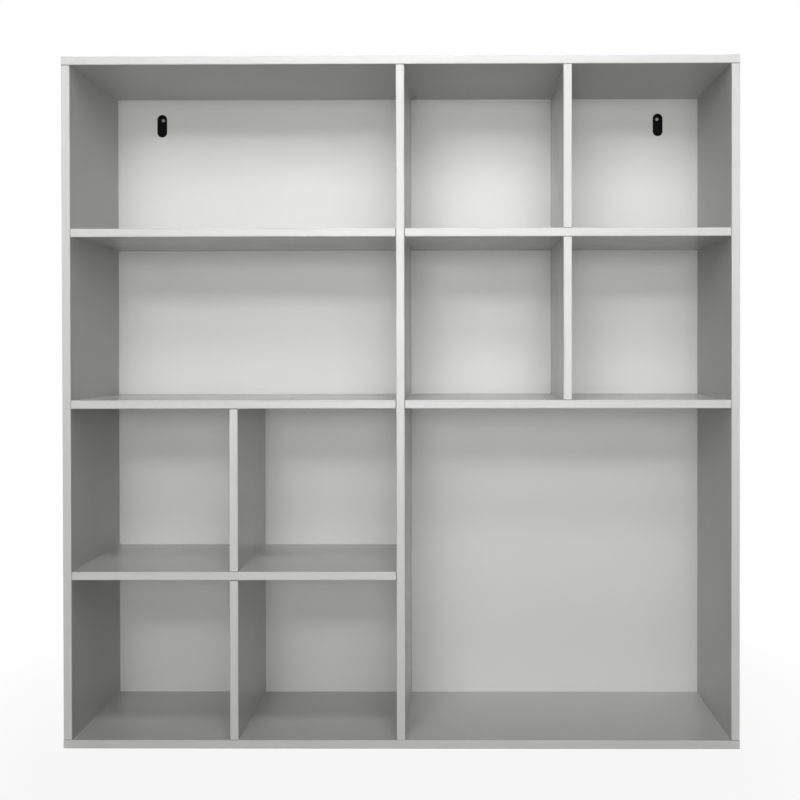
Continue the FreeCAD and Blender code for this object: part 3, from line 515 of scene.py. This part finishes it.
def screwTree(name, drive):
    # head, shank and core turned in one, a swept thread, and the driver's recess cut out of the head
    fadeShare = 0.06  # of the thread's length, at each end
    fadedSize = 0.15  # of the full ridge, at the very end
    sizes = [
        "Head Diameter", "Head Height", "Head Round", "Shank Diameter", "Shank Length", "Core Diameter",
        "Thread Diameter", "Thread Length", "Thread Pitch", "Tip Length", "Recess Width", "Recess Depth"]
    if drive == "cross":
        sizes.append("Recess Arm")
    tree, ports = newTree(name, sizes)
    head, shank, core = [half(tree, ports[f"{part} Diameter"]) for part in ("Head", "Shank", "Core")]
    shoulder = ports["Head Height"]
    neck = sumUp(tree, shoulder, ports["Shank Length"])
    tip = sumUp(tree, neck, ports["Thread Length"])
    point = sumUp(tree, tip, ports["Tip Length"])
    corners = [(0, 0), (head, 0), (head, shoulder), (shank, shoulder), (shank, neck), (core, neck),
               (core, tip), (0, point)]
    index = addNode(tree, "GeometryNodeInputIndex").outputs[0]
    rim = addNode(tree, "FunctionNodeCompare", {2: index, 3: 1}, data_type="INT", operation="EQUAL")
    rounding = addNode(tree, "ShaderNodeMath", {
        0: rim.outputs[0], 1: ports["Head Round"]}, operation="MULTIPLY")
    profile = addNode(tree, "GeometryNodeFilletCurve", {
        "Curve": polyLine(tree, corners), "Radius": rounding.outputs[0], "Limit Radius": True}, mode="POLY")
    profile.inputs["Count"].default_value = fastenerMesh["headRoundSteps"]
    blank = turn(tree, profile.outputs[0])
    # the thread is a four-sided ridge on a helix that fades at both ends
    ridge = addNode(tree, "ShaderNodeMath", {
        0: half(tree, ports["Thread Diameter"]), 1: core}, operation="SUBTRACT")
    turns = addNode(tree, "ShaderNodeMath", {
        0: ports["Thread Length"], 1: ports["Thread Pitch"]}, operation="DIVIDE")
    helix = addNode(tree, "GeometryNodeCurveSpiral", {
        "Resolution": fastenerMesh["threadSteps"], "Rotations": turns.outputs[0],
        "Start Radius": core, "End Radius": core, "Height": ports["Thread Length"]})
    along = addNode(tree, "GeometryNodeSplineParameter").outputs["Factor"]
    fromEnd = addNode(tree, "ShaderNodeMath", {0: along, 1: 0.5}, operation="PINGPONG")
    fade = addNode(tree, "ShaderNodeMapRange", {
        "Value": fromEnd.outputs[0], "From Max": fadeShare, "To Min": fadedSize})
    section = addNode(tree, "GeometryNodeCurvePrimitiveCircle", {
        "Resolution": fastenerMesh["threadSides"], "Radius": ridge.outputs[0]})
    thread = addNode(tree, "GeometryNodeCurveToMesh", {
        "Curve": helix.outputs[0], "Profile Curve": section.outputs[0], "Scale": fade.outputs[0],
        "Fill Caps": True})
    drop = addNode(tree, "ShaderNodeMath", {0: tip, 1: -1}, operation="MULTIPLY")
    lowered = addNode(tree, "ShaderNodeCombineXYZ", {"Z": drop.outputs[0]})
    seated = addNode(tree, "GeometryNodeTransform", {
        "Geometry": thread.outputs[0], "Translation": lowered.outputs[0]})
    threaded = addNode(tree, "GeometryNodeMeshBoolean", operation="UNION", solver="MANIFOLD")
    tree.links.new(blank, threaded.inputs["Mesh 2"])
    tree.links.new(seated.outputs[0], threaded.inputs["Mesh 2"])
    # the cutter stands half above the head
    deep = addNode(tree, "ShaderNodeMath", {0: ports["Recess Depth"], 1: 2}, operation="MULTIPLY")
    cut = addNode(tree, "GeometryNodeMeshBoolean", {"Mesh 1": threaded.outputs[0]},
                  operation="DIFFERENCE", solver="MANIFOLD")
    if drive == "hex":
        corner = addNode(tree, "ShaderNodeMath", {
            0: ports["Recess Width"], 1: 1 / math.sqrt(3)}, operation="MULTIPLY")
        key = addNode(tree, "GeometryNodeMeshCylinder", {
            "Vertices": 6, "Radius": corner.outputs[0], "Depth": deep.outputs[0]})
        tree.links.new(key.outputs[0], cut.inputs["Mesh 2"])
    else:
        for arms in (("Recess Arm", "Recess Width"), ("Recess Width", "Recess Arm")):
            size = addNode(tree, "ShaderNodeCombineXYZ", {
                "X": ports[arms[0]], "Y": ports[arms[1]], "Z": deep.outputs[0]})
            arm = addNode(tree, "GeometryNodeMeshCube", {"Size": size.outputs[0]})
            tree.links.new(arm.outputs[0], cut.inputs["Mesh 2"])
    return spread(tree, ports, cut.outputs[0])


def capTree():
    # a crowned disc with a stem that presses into the screw's socket
    tree, ports = newTree("coverCap", [
        "Cap Diameter", "Cap Thickness", "Cap Crown", "Stem Diameter", "Stem Length"])
    crownShare = 0.62  # of the radius, inside which the crown is flattest
    rim, stem = half(tree, ports["Cap Diameter"]), half(tree, ports["Stem Diameter"])
    crown = addNode(tree, "ShaderNodeMath", {0: rim, 1: crownShare}, operation="MULTIPLY").outputs[0]
    foot = sumUp(tree, ports["Cap Thickness"], ports["Stem Length"])
    corners = [(0, 0), (crown, half(tree, half(tree, ports["Cap Crown"]))), (rim, ports["Cap Crown"]),
               (rim, ports["Cap Thickness"]), (stem, ports["Cap Thickness"]), (stem, foot), (0, foot)]
    profile = addNode(tree, "GeometryNodeFilletCurve", {
        "Curve": polyLine(tree, corners), "Radius": half(tree, ports["Cap Crown"]),
        "Limit Radius": True}, mode="POLY")
    profile.inputs["Count"].default_value = fastenerMesh["capRoundSteps"]
    return spread(tree, ports, turn(tree, profile.outputs[0], fastenerMesh["capSegments"]))


def dowelTree():
    # fluted stock with chamfered ends, which keeps its own coordinates for the grain
    fluteCount = 22
    endShare = 0.01  # less than the chamfer's share of the length, so that only the ends are drawn in
    tree, ports = newTree("flutedDowel", ["Diameter", "Length", "Chamfer", "Flute Depth"])
    radius = half(tree, ports["Diameter"])
    low = addNode(tree, "ShaderNodeMath", {
        0: ports["Length"], 1: ports["Chamfer"]}, operation="SUBTRACT").outputs[0]
    spine = addNode(tree, "GeometryNodeTransform", {
        "Geometry": polyLine(tree, [(0, 0), (0, ports["Chamfer"]), (0, low), (0, ports["Length"])]),
        "Rotation": (math.radians(-90), 0, 0)})
    inner = addNode(tree, "ShaderNodeMath", {0: radius, 1: ports["Flute Depth"]}, operation="SUBTRACT")
    flutes = addNode(tree, "GeometryNodeCurveStar", {
        "Points": fluteCount, "Inner Radius": inner.outputs[0], "Outer Radius": radius})
    taper = addNode(tree, "ShaderNodeMath", {0: ports["Chamfer"], 1: radius}, operation="DIVIDE")
    drawn = addNode(tree, "ShaderNodeMath", {0: 1, 1: taper.outputs[0]}, operation="SUBTRACT")
    along = addNode(tree, "GeometryNodeSplineParameter").outputs["Factor"]
    fromEnd = addNode(tree, "ShaderNodeMath", {0: along, 1: 0.5}, operation="PINGPONG")
    ends = addNode(tree, "ShaderNodeMapRange", {
        "Value": fromEnd.outputs[0], "From Max": endShare, "To Min": drawn.outputs[0]})
    stock = addNode(tree, "GeometryNodeCurveToMesh", {
        "Curve": spine.outputs[0], "Profile Curve": flutes.outputs[0], "Scale": ends.outputs[0],
        "Fill Caps": True})
    own = addNode(tree, "GeometryNodeInputPosition")
    marked = addNode(tree, "GeometryNodeStoreNamedAttribute", {
        "Geometry": stock.outputs[0], "Name": "dowelPlace", "Value": own.outputs[0]},
        data_type="FLOAT_VECTOR", domain="POINT")
    return spread(tree, ports, marked.outputs[0])


def nutTree():
    # a hexagon with its corners turned off and a plain bore
    faceShare = 0.475  # radius of the end face, of the width across flats
    cornerRoom = 0.1  # by which the turned barrel clears the corners
    tree, ports = newTree("hexNut", ["Width", "Height", "Bore", "Corner Chamfer"])
    corner = addNode(tree, "ShaderNodeMath", {0: ports["Width"], 1: 1 / math.sqrt(3)}, operation="MULTIPLY")
    shift = addNode(tree, "ShaderNodeMath", {0: half(tree, ports["Height"]), 1: -1}, operation="MULTIPLY")
    centre = addNode(tree, "ShaderNodeCombineXYZ", {"Z": shift.outputs[0]})
    block = addNode(tree, "GeometryNodeMeshCylinder", {
        "Vertices": 6, "Radius": corner.outputs[0], "Depth": ports["Height"]})
    placed = addNode(tree, "GeometryNodeTransform", {
        "Geometry": block.outputs[0], "Translation": centre.outputs[0]})
    face = addNode(tree, "ShaderNodeMath", {
        0: ports["Width"], 1: faceShare}, operation="MULTIPLY").outputs[0]
    wide = sumUp(tree, corner.outputs[0], cornerRoom * mm)
    lower = addNode(tree, "ShaderNodeMath", {
        0: ports["Height"], 1: ports["Corner Chamfer"]}, operation="SUBTRACT").outputs[0]
    barrel = turn(tree, polyLine(tree, [
        (0, 0), (face, 0), (wide, ports["Corner Chamfer"]), (wide, lower), (face, ports["Height"]),
        (0, ports["Height"])]), fastenerMesh["nutSegments"])
    turned = addNode(tree, "GeometryNodeMeshBoolean", operation="INTERSECT", solver="MANIFOLD")
    tree.links.new(placed.outputs[0], turned.inputs["Mesh 2"])
    tree.links.new(barrel, turned.inputs["Mesh 2"])
    drill = addNode(tree, "GeometryNodeMeshCylinder", {
        "Vertices": fastenerMesh["boreSegments"], "Radius": half(tree, ports["Bore"]),
        "Depth": sumUp(tree, ports["Height"], ports["Height"])})
    centred = addNode(tree, "GeometryNodeTransform", {
        "Geometry": drill.outputs[0], "Translation": centre.outputs[0]})
    bored = addNode(tree, "GeometryNodeMeshBoolean", {"Mesh 1": turned.outputs[0]},
                    operation="DIFFERENCE", solver="MANIFOLD")
    tree.links.new(centred.outputs[0], bored.inputs["Mesh 2"])
    return spread(tree, ports, bored.outputs[0], fullTurn=0)  # the hook plate keeps the nut from turning


def solidSpots(name, outward=None):
    # each solid of a grouped node: the middle of its outer end, and the way that end faces
    solids = bmesh.new()
    solids.from_mesh(nodes[name].data)
    bmesh.ops.remove_doubles(solids, verts=solids.verts, dist=fastenerMesh["spotWeld"] * mm)
    waiting = set(solids.verts)
    spots = []
    while waiting:
        island = {waiting.pop()}
        edge = list(island)
        while edge:
            fresh = {link.other_vert(vert) for vert in edge for link in vert.link_edges} & waiting
            waiting -= fresh
            island |= fresh
            edge = list(fresh)
        corners = [vert.co for vert in island]
        low = Vector([min(corner[axis] for corner in corners) for axis in range(3)])
        high = Vector([max(corner[axis] for corner in corners) for axis in range(3)])
        reach = high - low
        facing = Vector(outward) if outward else Vector([float(side == max(reach)) for side in reach])
        spots.append(((low + high) / 2 + facing * abs(reach.dot(facing)) / 2, facing))
    solids.free()
    return sorted(spots, key=lambda spot: tuple(round(part, 4) for part in spot[0]))


def growPiece(piece, tree, spots, finish, sizes, seed):
    # spots become a plain mesh of fasteners through the tree, whose inputs are set before it first runs
    mesh = bpy.data.meshes.new(piece)
    mesh.from_pydata([spot for spot, facing in spots], [], [])
    outward = mesh.attributes.new("outward", "FLOAT_VECTOR", "POINT")
    outward.data.foreach_set("vector", [part for spot, facing in spots for part in facing])
    grown = bpy.data.objects.new(piece, mesh)
    scene.collection.objects.link(grown)
    modifier = grown.modifiers.new("grow", "NODES")
    modifier.node_group = tree
    given = {"Finish": finish, "Spin Seed": seed, **{label: size * mm for label, size in sizes.items()}}
    for item in tree.interface.items_tree:
        if item.in_out == "INPUT" and item.name in given:
            modifier[item.identifier] = given[item.name]
    ready = grown.evaluated_get(bpy.context.evaluated_depsgraph_get())
    grown.data = bpy.data.meshes.new_from_object(ready)
    grown.modifiers.remove(modifier)
    bpy.data.meshes.remove(mesh)
    grown.data.name = piece
    low = [min(vert.co[axis] for vert in grown.data.vertices) / mm for axis in range(3)]
    high = [max(vert.co[axis] for vert in grown.data.vertices) / mm for axis in range(3)]
    print(piece, len(spots), "pieces,", len(grown.data.polygons), "faces, from",
          [round(part, 2) for part in low], "to", [round(part, 2) for part in high])
    return grown


def fasten(piece, tree, spots, sizes, body, slotName, replaced, seed=1):
    # a set of fasteners that rides on a body and stands for its plain CAD nodes
    grown = growPiece(piece, tree, spots, slotFinishes[slotName], sizes, seed)
    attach(grown, body)
    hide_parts(*replaced)


outwards = {
    "top": (0, 0, 1), "bottom": (0, 0, -1), "left": (-1, 0, 0), "right": (1, 0, 0), "front": (0, -1, 0),
    "rear": (0, 1, 0)}

# connecting screws: coarse thread for chipboard, hexagon socket, flat head
connectingScrew = {
    "Head Diameter": 10, "Head Height": 3.5, "Head Round": 0.5, "Shank Diameter": 7, "Shank Length": 10.7,
    "Core Diameter": 5, "Thread Diameter": 6.8, "Thread Length": 33.8, "Thread Pitch": 3, "Tip Length": 2,
    "Recess Width": 4, "Recess Depth": 2.5}
screwSides = {
    "top_panel_screws": "top", "bottom_panel_screws": "bottom", "left_side_panel_screws": "left",
    "right_side_panel_screws": "right", "right_lower_shelf_screws": "bottom"}
hexScrew = screwTree("hexSocketScrew", "hex")
crossScrew = screwTree("crossRecessScrew", "cross")
spots = [spot for name, side in screwSides.items() for spot in solidSpots(name, outwards[side])]
fasten("connecting_screw_set", hexScrew, spots, connectingScrew, "carcass", "zinc_screw", screwSides)

# cover caps over the connecting screws that a hand or eye can meet
coverCap = {
    "Cap Diameter": 12, "Cap Thickness": 1.2, "Cap Crown": 0.7, "Stem Diameter": 3.6, "Stem Length": 2}
capSides = {
    "top_panel_screw_caps": "top", "left_side_panel_screw_caps": "left",
    "right_side_panel_screw_caps": "right", "right_lower_shelf_screw_caps": "bottom"}
spots = [spot for name, side in capSides.items() for spot in solidSpots(name, outwards[side])]
fasten("cover_cap_set", capTree(), spots, coverCap, "carcass", "cap_plastic", capSides)

# small pan-head screws that hold the back to the shelves and dividers
backScrew = {
    "Head Diameter": 6.4, "Head Height": 1.8, "Head Round": 1.2, "Shank Diameter": 2.4, "Shank Length": 1,
    "Core Diameter": 2, "Thread Diameter": 3, "Thread Length": 12, "Thread Pitch": 1.3, "Tip Length": 3,
    "Recess Width": 0.8, "Recess Arm": 3.4, "Recess Depth": 1.2}
fasten("back_screw_set", crossScrew, solidSpots("back_panel_screws", outwards["rear"]), backScrew,
       "carcass", "zinc_screw", ["back_panel_screws"], seed=3)

# screws that hold each hanger bracket under the top panel
bracketScrew = {
    "Head Diameter": 8, "Head Height": 2.4, "Head Round": 1.6, "Shank Diameter": 3.4, "Shank Length": 1.5,
    "Core Diameter": 2.8, "Thread Diameter": 4, "Thread Length": 8, "Thread Pitch": 1.6, "Tip Length": 2.5,
    "Recess Width": 1, "Recess Arm": 4.4, "Recess Depth": 1.6}
bracketScrewNodes = ("left_bracket_screws", "right_bracket_screws")
spots = [spot for name in bracketScrewNodes for spot in solidSpots(name, outwards["bottom"])]
fasten("bracket_screw_set", crossScrew, spots, bracketScrew,
       "carcass", "bright_zinc", bracketScrewNodes, seed=5)

# dowels in the board joints
shortDowel = {"Diameter": 8, "Length": 30, "Chamfer": 0.8, "Flute Depth": 0.35}
throughDowel = {**shortDowel, "Length": 55}
dowelStock = dowelTree()
for piece, name, sizes in (("short_dowel_set", "short_dowels", shortDowel),
                           ("through_dowel_set", "through_dowels", throughDowel)):
    fasten(piece, dowelStock, solidSpots(name), sizes, "carcass", "dowel_wood", [name], seed=7)

# clamp screw and nut of each hook, whose bright head shows in the slot
clampScrew = {
    "Head Diameter": 7, "Head Height": 3.4, "Head Round": 1.6, "Shank Diameter": 4, "Shank Length": 2.2,
    "Core Diameter": 3.3, "Thread Diameter": 4, "Thread Length": 7.2, "Thread Pitch": 0.7,
    "Tip Length": 0.6, "Recess Width": 0.9, "Recess Arm": 4.2, "Recess Depth": 1.6}
clampNut = {"Width": 7, "Height": 3.2, "Bore": 4.2, "Corner Chamfer": 0.5}
hexNut = nutTree()
for side, seed in (("left", 2), ("right", 4)):
    screwNode, nutNode = f"{side}_clamp_screw", f"{side}_clamp_nut"
    fasten(f"{side}_clamp_bolt", crossScrew, solidSpots(screwNode, outwards["front"]), clampScrew,
           f"{side}_clamp", "bright_zinc", [screwNode], seed)
    fasten(f"{side}_hook_nut", hexNut, solidSpots(nutNode, outwards["front"]), clampNut,
           f"{side}_hook", "bright_zinc", [nutNode], seed)
print("fasteners: done")


# Stage

floorLook = {"size": 14, "colour": "#A6A6A4", "roughness": 0.8, "whiteShare": 0.9, "shadow": (0.6, 1.1)}


def paleFloor():
    look = floorLook
    mesh = bpy.data.meshes.new("floor")
    reach = look["size"]
    corners = [(-reach, -reach, 0), (reach, -reach, 0), (reach, reach, 0), (-reach, reach, 0)]
    mesh.from_pydata(corners, [], [(0, 1, 2, 3)])
    floor = bpy.data.objects.new("floor", mesh)
    scene.collection.objects.link(floor)
    paint = bpy.data.materials.new("paleFloor")
    paint.use_nodes = True
    tree = paint.node_tree
    shader = tree.nodes["Principled BSDF"]
    shader.inputs["Base Color"].default_value = linearColour(look["colour"])
    shader.inputs["Roughness"].default_value = look["roughness"]
    # seen directly it is white far off and nearly white round the shelf, where it keeps the shadow
    where = addNode(tree, "ShaderNodeTexCoord").outputs["Object"]
    far = addNode(tree, "ShaderNodeVectorMath", {0: where}, operation="LENGTH")
    white = addNode(tree, "ShaderNodeMapRange", {
        "Value": far.outputs["Value"], "From Min": look["shadow"][0], "From Max": look["shadow"][1],
        "To Min": look["whiteShare"]}, interpolation_type="SMOOTHSTEP")
    path = addNode(tree, "ShaderNodeLightPath").outputs
    seen = sumUp(tree, path["Is Camera Ray"], path["Is Glossy Ray"], path["Is Transmission Ray"])
    share = addNode(tree, "ShaderNodeMath", {
        0: white.outputs[0], 1: seen}, operation="MULTIPLY", use_clamp=True)
    glow = addNode(tree, "ShaderNodeEmission", {"Color": (1, 1, 1, 1), "Strength": 1})
    mix = addNode(tree, "ShaderNodeMixShader", {
        0: share.outputs[0], 1: shader.outputs[0], 2: glow.outputs[0]})
    tree.links.new(mix.outputs[0], tree.nodes["Material Output"].inputs["Surface"])
    mesh.materials.append(paint)
    floor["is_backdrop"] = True


worldLook = {"ambient": "#FFFFFF", "strength": 0.06}


def whiteWorld():
    world = bpy.data.worlds.new("studio")
    scene.world = world
    world.use_nodes = True
    tree = world.node_tree
    path = addNode(tree, "ShaderNodeLightPath").outputs
    seen = sumUp(tree, path["Is Camera Ray"], path["Is Glossy Ray"], path["Is Transmission Ray"])
    strength = addNode(tree, "ShaderNodeMapRange", {"Value": seen, "To Min": worldLook["strength"]})
    sky = tree.nodes["Background"]
    sky.inputs["Color"].default_value = linearColour(worldLook["ambient"])
    tree.links.new(strength.outputs[0], sky.inputs["Strength"])


# softboxes left and right of the camera, one in front, a strip above the front edge, one near the ceiling
# and a low one, then four behind the open front that show the outer faces
# only the mirrored ones show in glossy faces, so that no face holds a hard image of the others
lamps = {
    "leftSoftbox": {
        "place": (-1.1, -3.55, 2.2), "aim": (-0.05, 0, 1.5), "size": (1.2, 0.55), "power": 5.5,
        "spread": 80},
    "rightSoftbox": {
        "place": (1.3, -3.55, 2.2), "aim": (0.15, 0, 1.5), "size": (1.2, 0.55), "power": 3.2, "spread": 80},
    "frontSoftbox": {
        "place": (0.05, -4.5, 1.2), "aim": (0.05, 0, 1.1), "size": (2.4, 0.8), "power": 4.9, "spread": 60,
        "mirrored": True},
    "overheadStrip": {
        "place": (0.1, -1.55, 1.95), "aim": (0.05, 0, 1.1), "size": (1.2, 0.3), "power": 2.4, "spread": 100,
        "mirrored": True},
    "ceilingSoftbox": {
        "place": (0.05, -1.3, 2.9), "aim": (0.05, 0, 0.6), "size": (1.2, 0.3), "power": 13.5, "spread": 180,
        "mirrored": True},
    "lowSoftbox": {
        "place": (0.05, -4, 0.62), "aim": (0.05, 0, 0.75), "size": (1.6, 0.3), "power": 1.4, "spread": 50,
        "mirrored": True},
    "rearSoftbox": {
        "place": (0.5, 3.2, 1.8), "aim": (0, 0, 0.6), "size": (2.4, 1.2), "power": 12, "spread": 100},
    "leftSideSoftbox": {
        "place": (-3.1, 1.3, 1.7), "aim": (-0.6, 0, 0.6), "size": (1.4, 1.4), "power": 15, "spread": 70},
    "rightSideSoftbox": {
        "place": (3.1, 1.3, 1.7), "aim": (0.6, 0, 0.6), "size": (1.4, 1.4), "power": 15, "spread": 70},
    "topSoftbox": {
        "place": (0, 1.3, 3.2), "aim": (0, 0, 1.24), "size": (3, 2), "power": 3.2, "spread": 60},
}


def softboxes():
    for name, look in lamps.items():
        lamp = bpy.data.lights.new(name, "AREA")
        lamp.shape = "RECTANGLE"
        lamp.size, lamp.size_y = look["size"]
        lamp.energy = look["power"]
        lamp.spread = math.radians(look["spread"])
        box = bpy.data.objects.new(name, lamp)
        box.location = look["place"]
        box.rotation_euler = (Vector(look["aim"]) - box.location).to_track_quat("-Z", "Y").to_euler()
        box.visible_camera = False
        box.visible_glossy = look.get("mirrored", False)
        scene.collection.objects.link(box)


# camera, fitted to the board edges of the photograph
view = {
    "place": (0.10572, -2.07835, 0.71468), "yaw": 0.383, "pitch": -0.447, "roll": -0.08,
    "lens": 48.669, "sensor": 36, "shift": (-0.06544, -0.05279)}


def photoCamera():
    lens = bpy.data.cameras.new("photoCamera")
    lens.sensor_width = view["sensor"]
    lens.lens = view["lens"]
    lens.shift_x, lens.shift_y = view["shift"]
    lens.clip_end = 100
    camera = bpy.data.objects.new("photoCamera", lens)
    yaw, pitch, roll = [math.radians(view[name]) for name in ("yaw", "pitch", "roll")]
    camera.matrix_world = (
        Matrix.Translation(view["place"]) @ Matrix.Rotation(yaw, 4, "Z")
        @ Matrix.Rotation(math.pi / 2 + pitch, 4, "X") @ Matrix.Rotation(roll, 4, "Z"))
    scene.collection.objects.link(camera)
    scene.camera = camera


paleFloor()
whiteWorld()
softboxes()
photoCamera()
print("stage: floor, world,", len(lamps), "lamps and camera")

sizes = {"cad": [list(corner) for corner in cadBox], "visual": [list(corner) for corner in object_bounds()]}
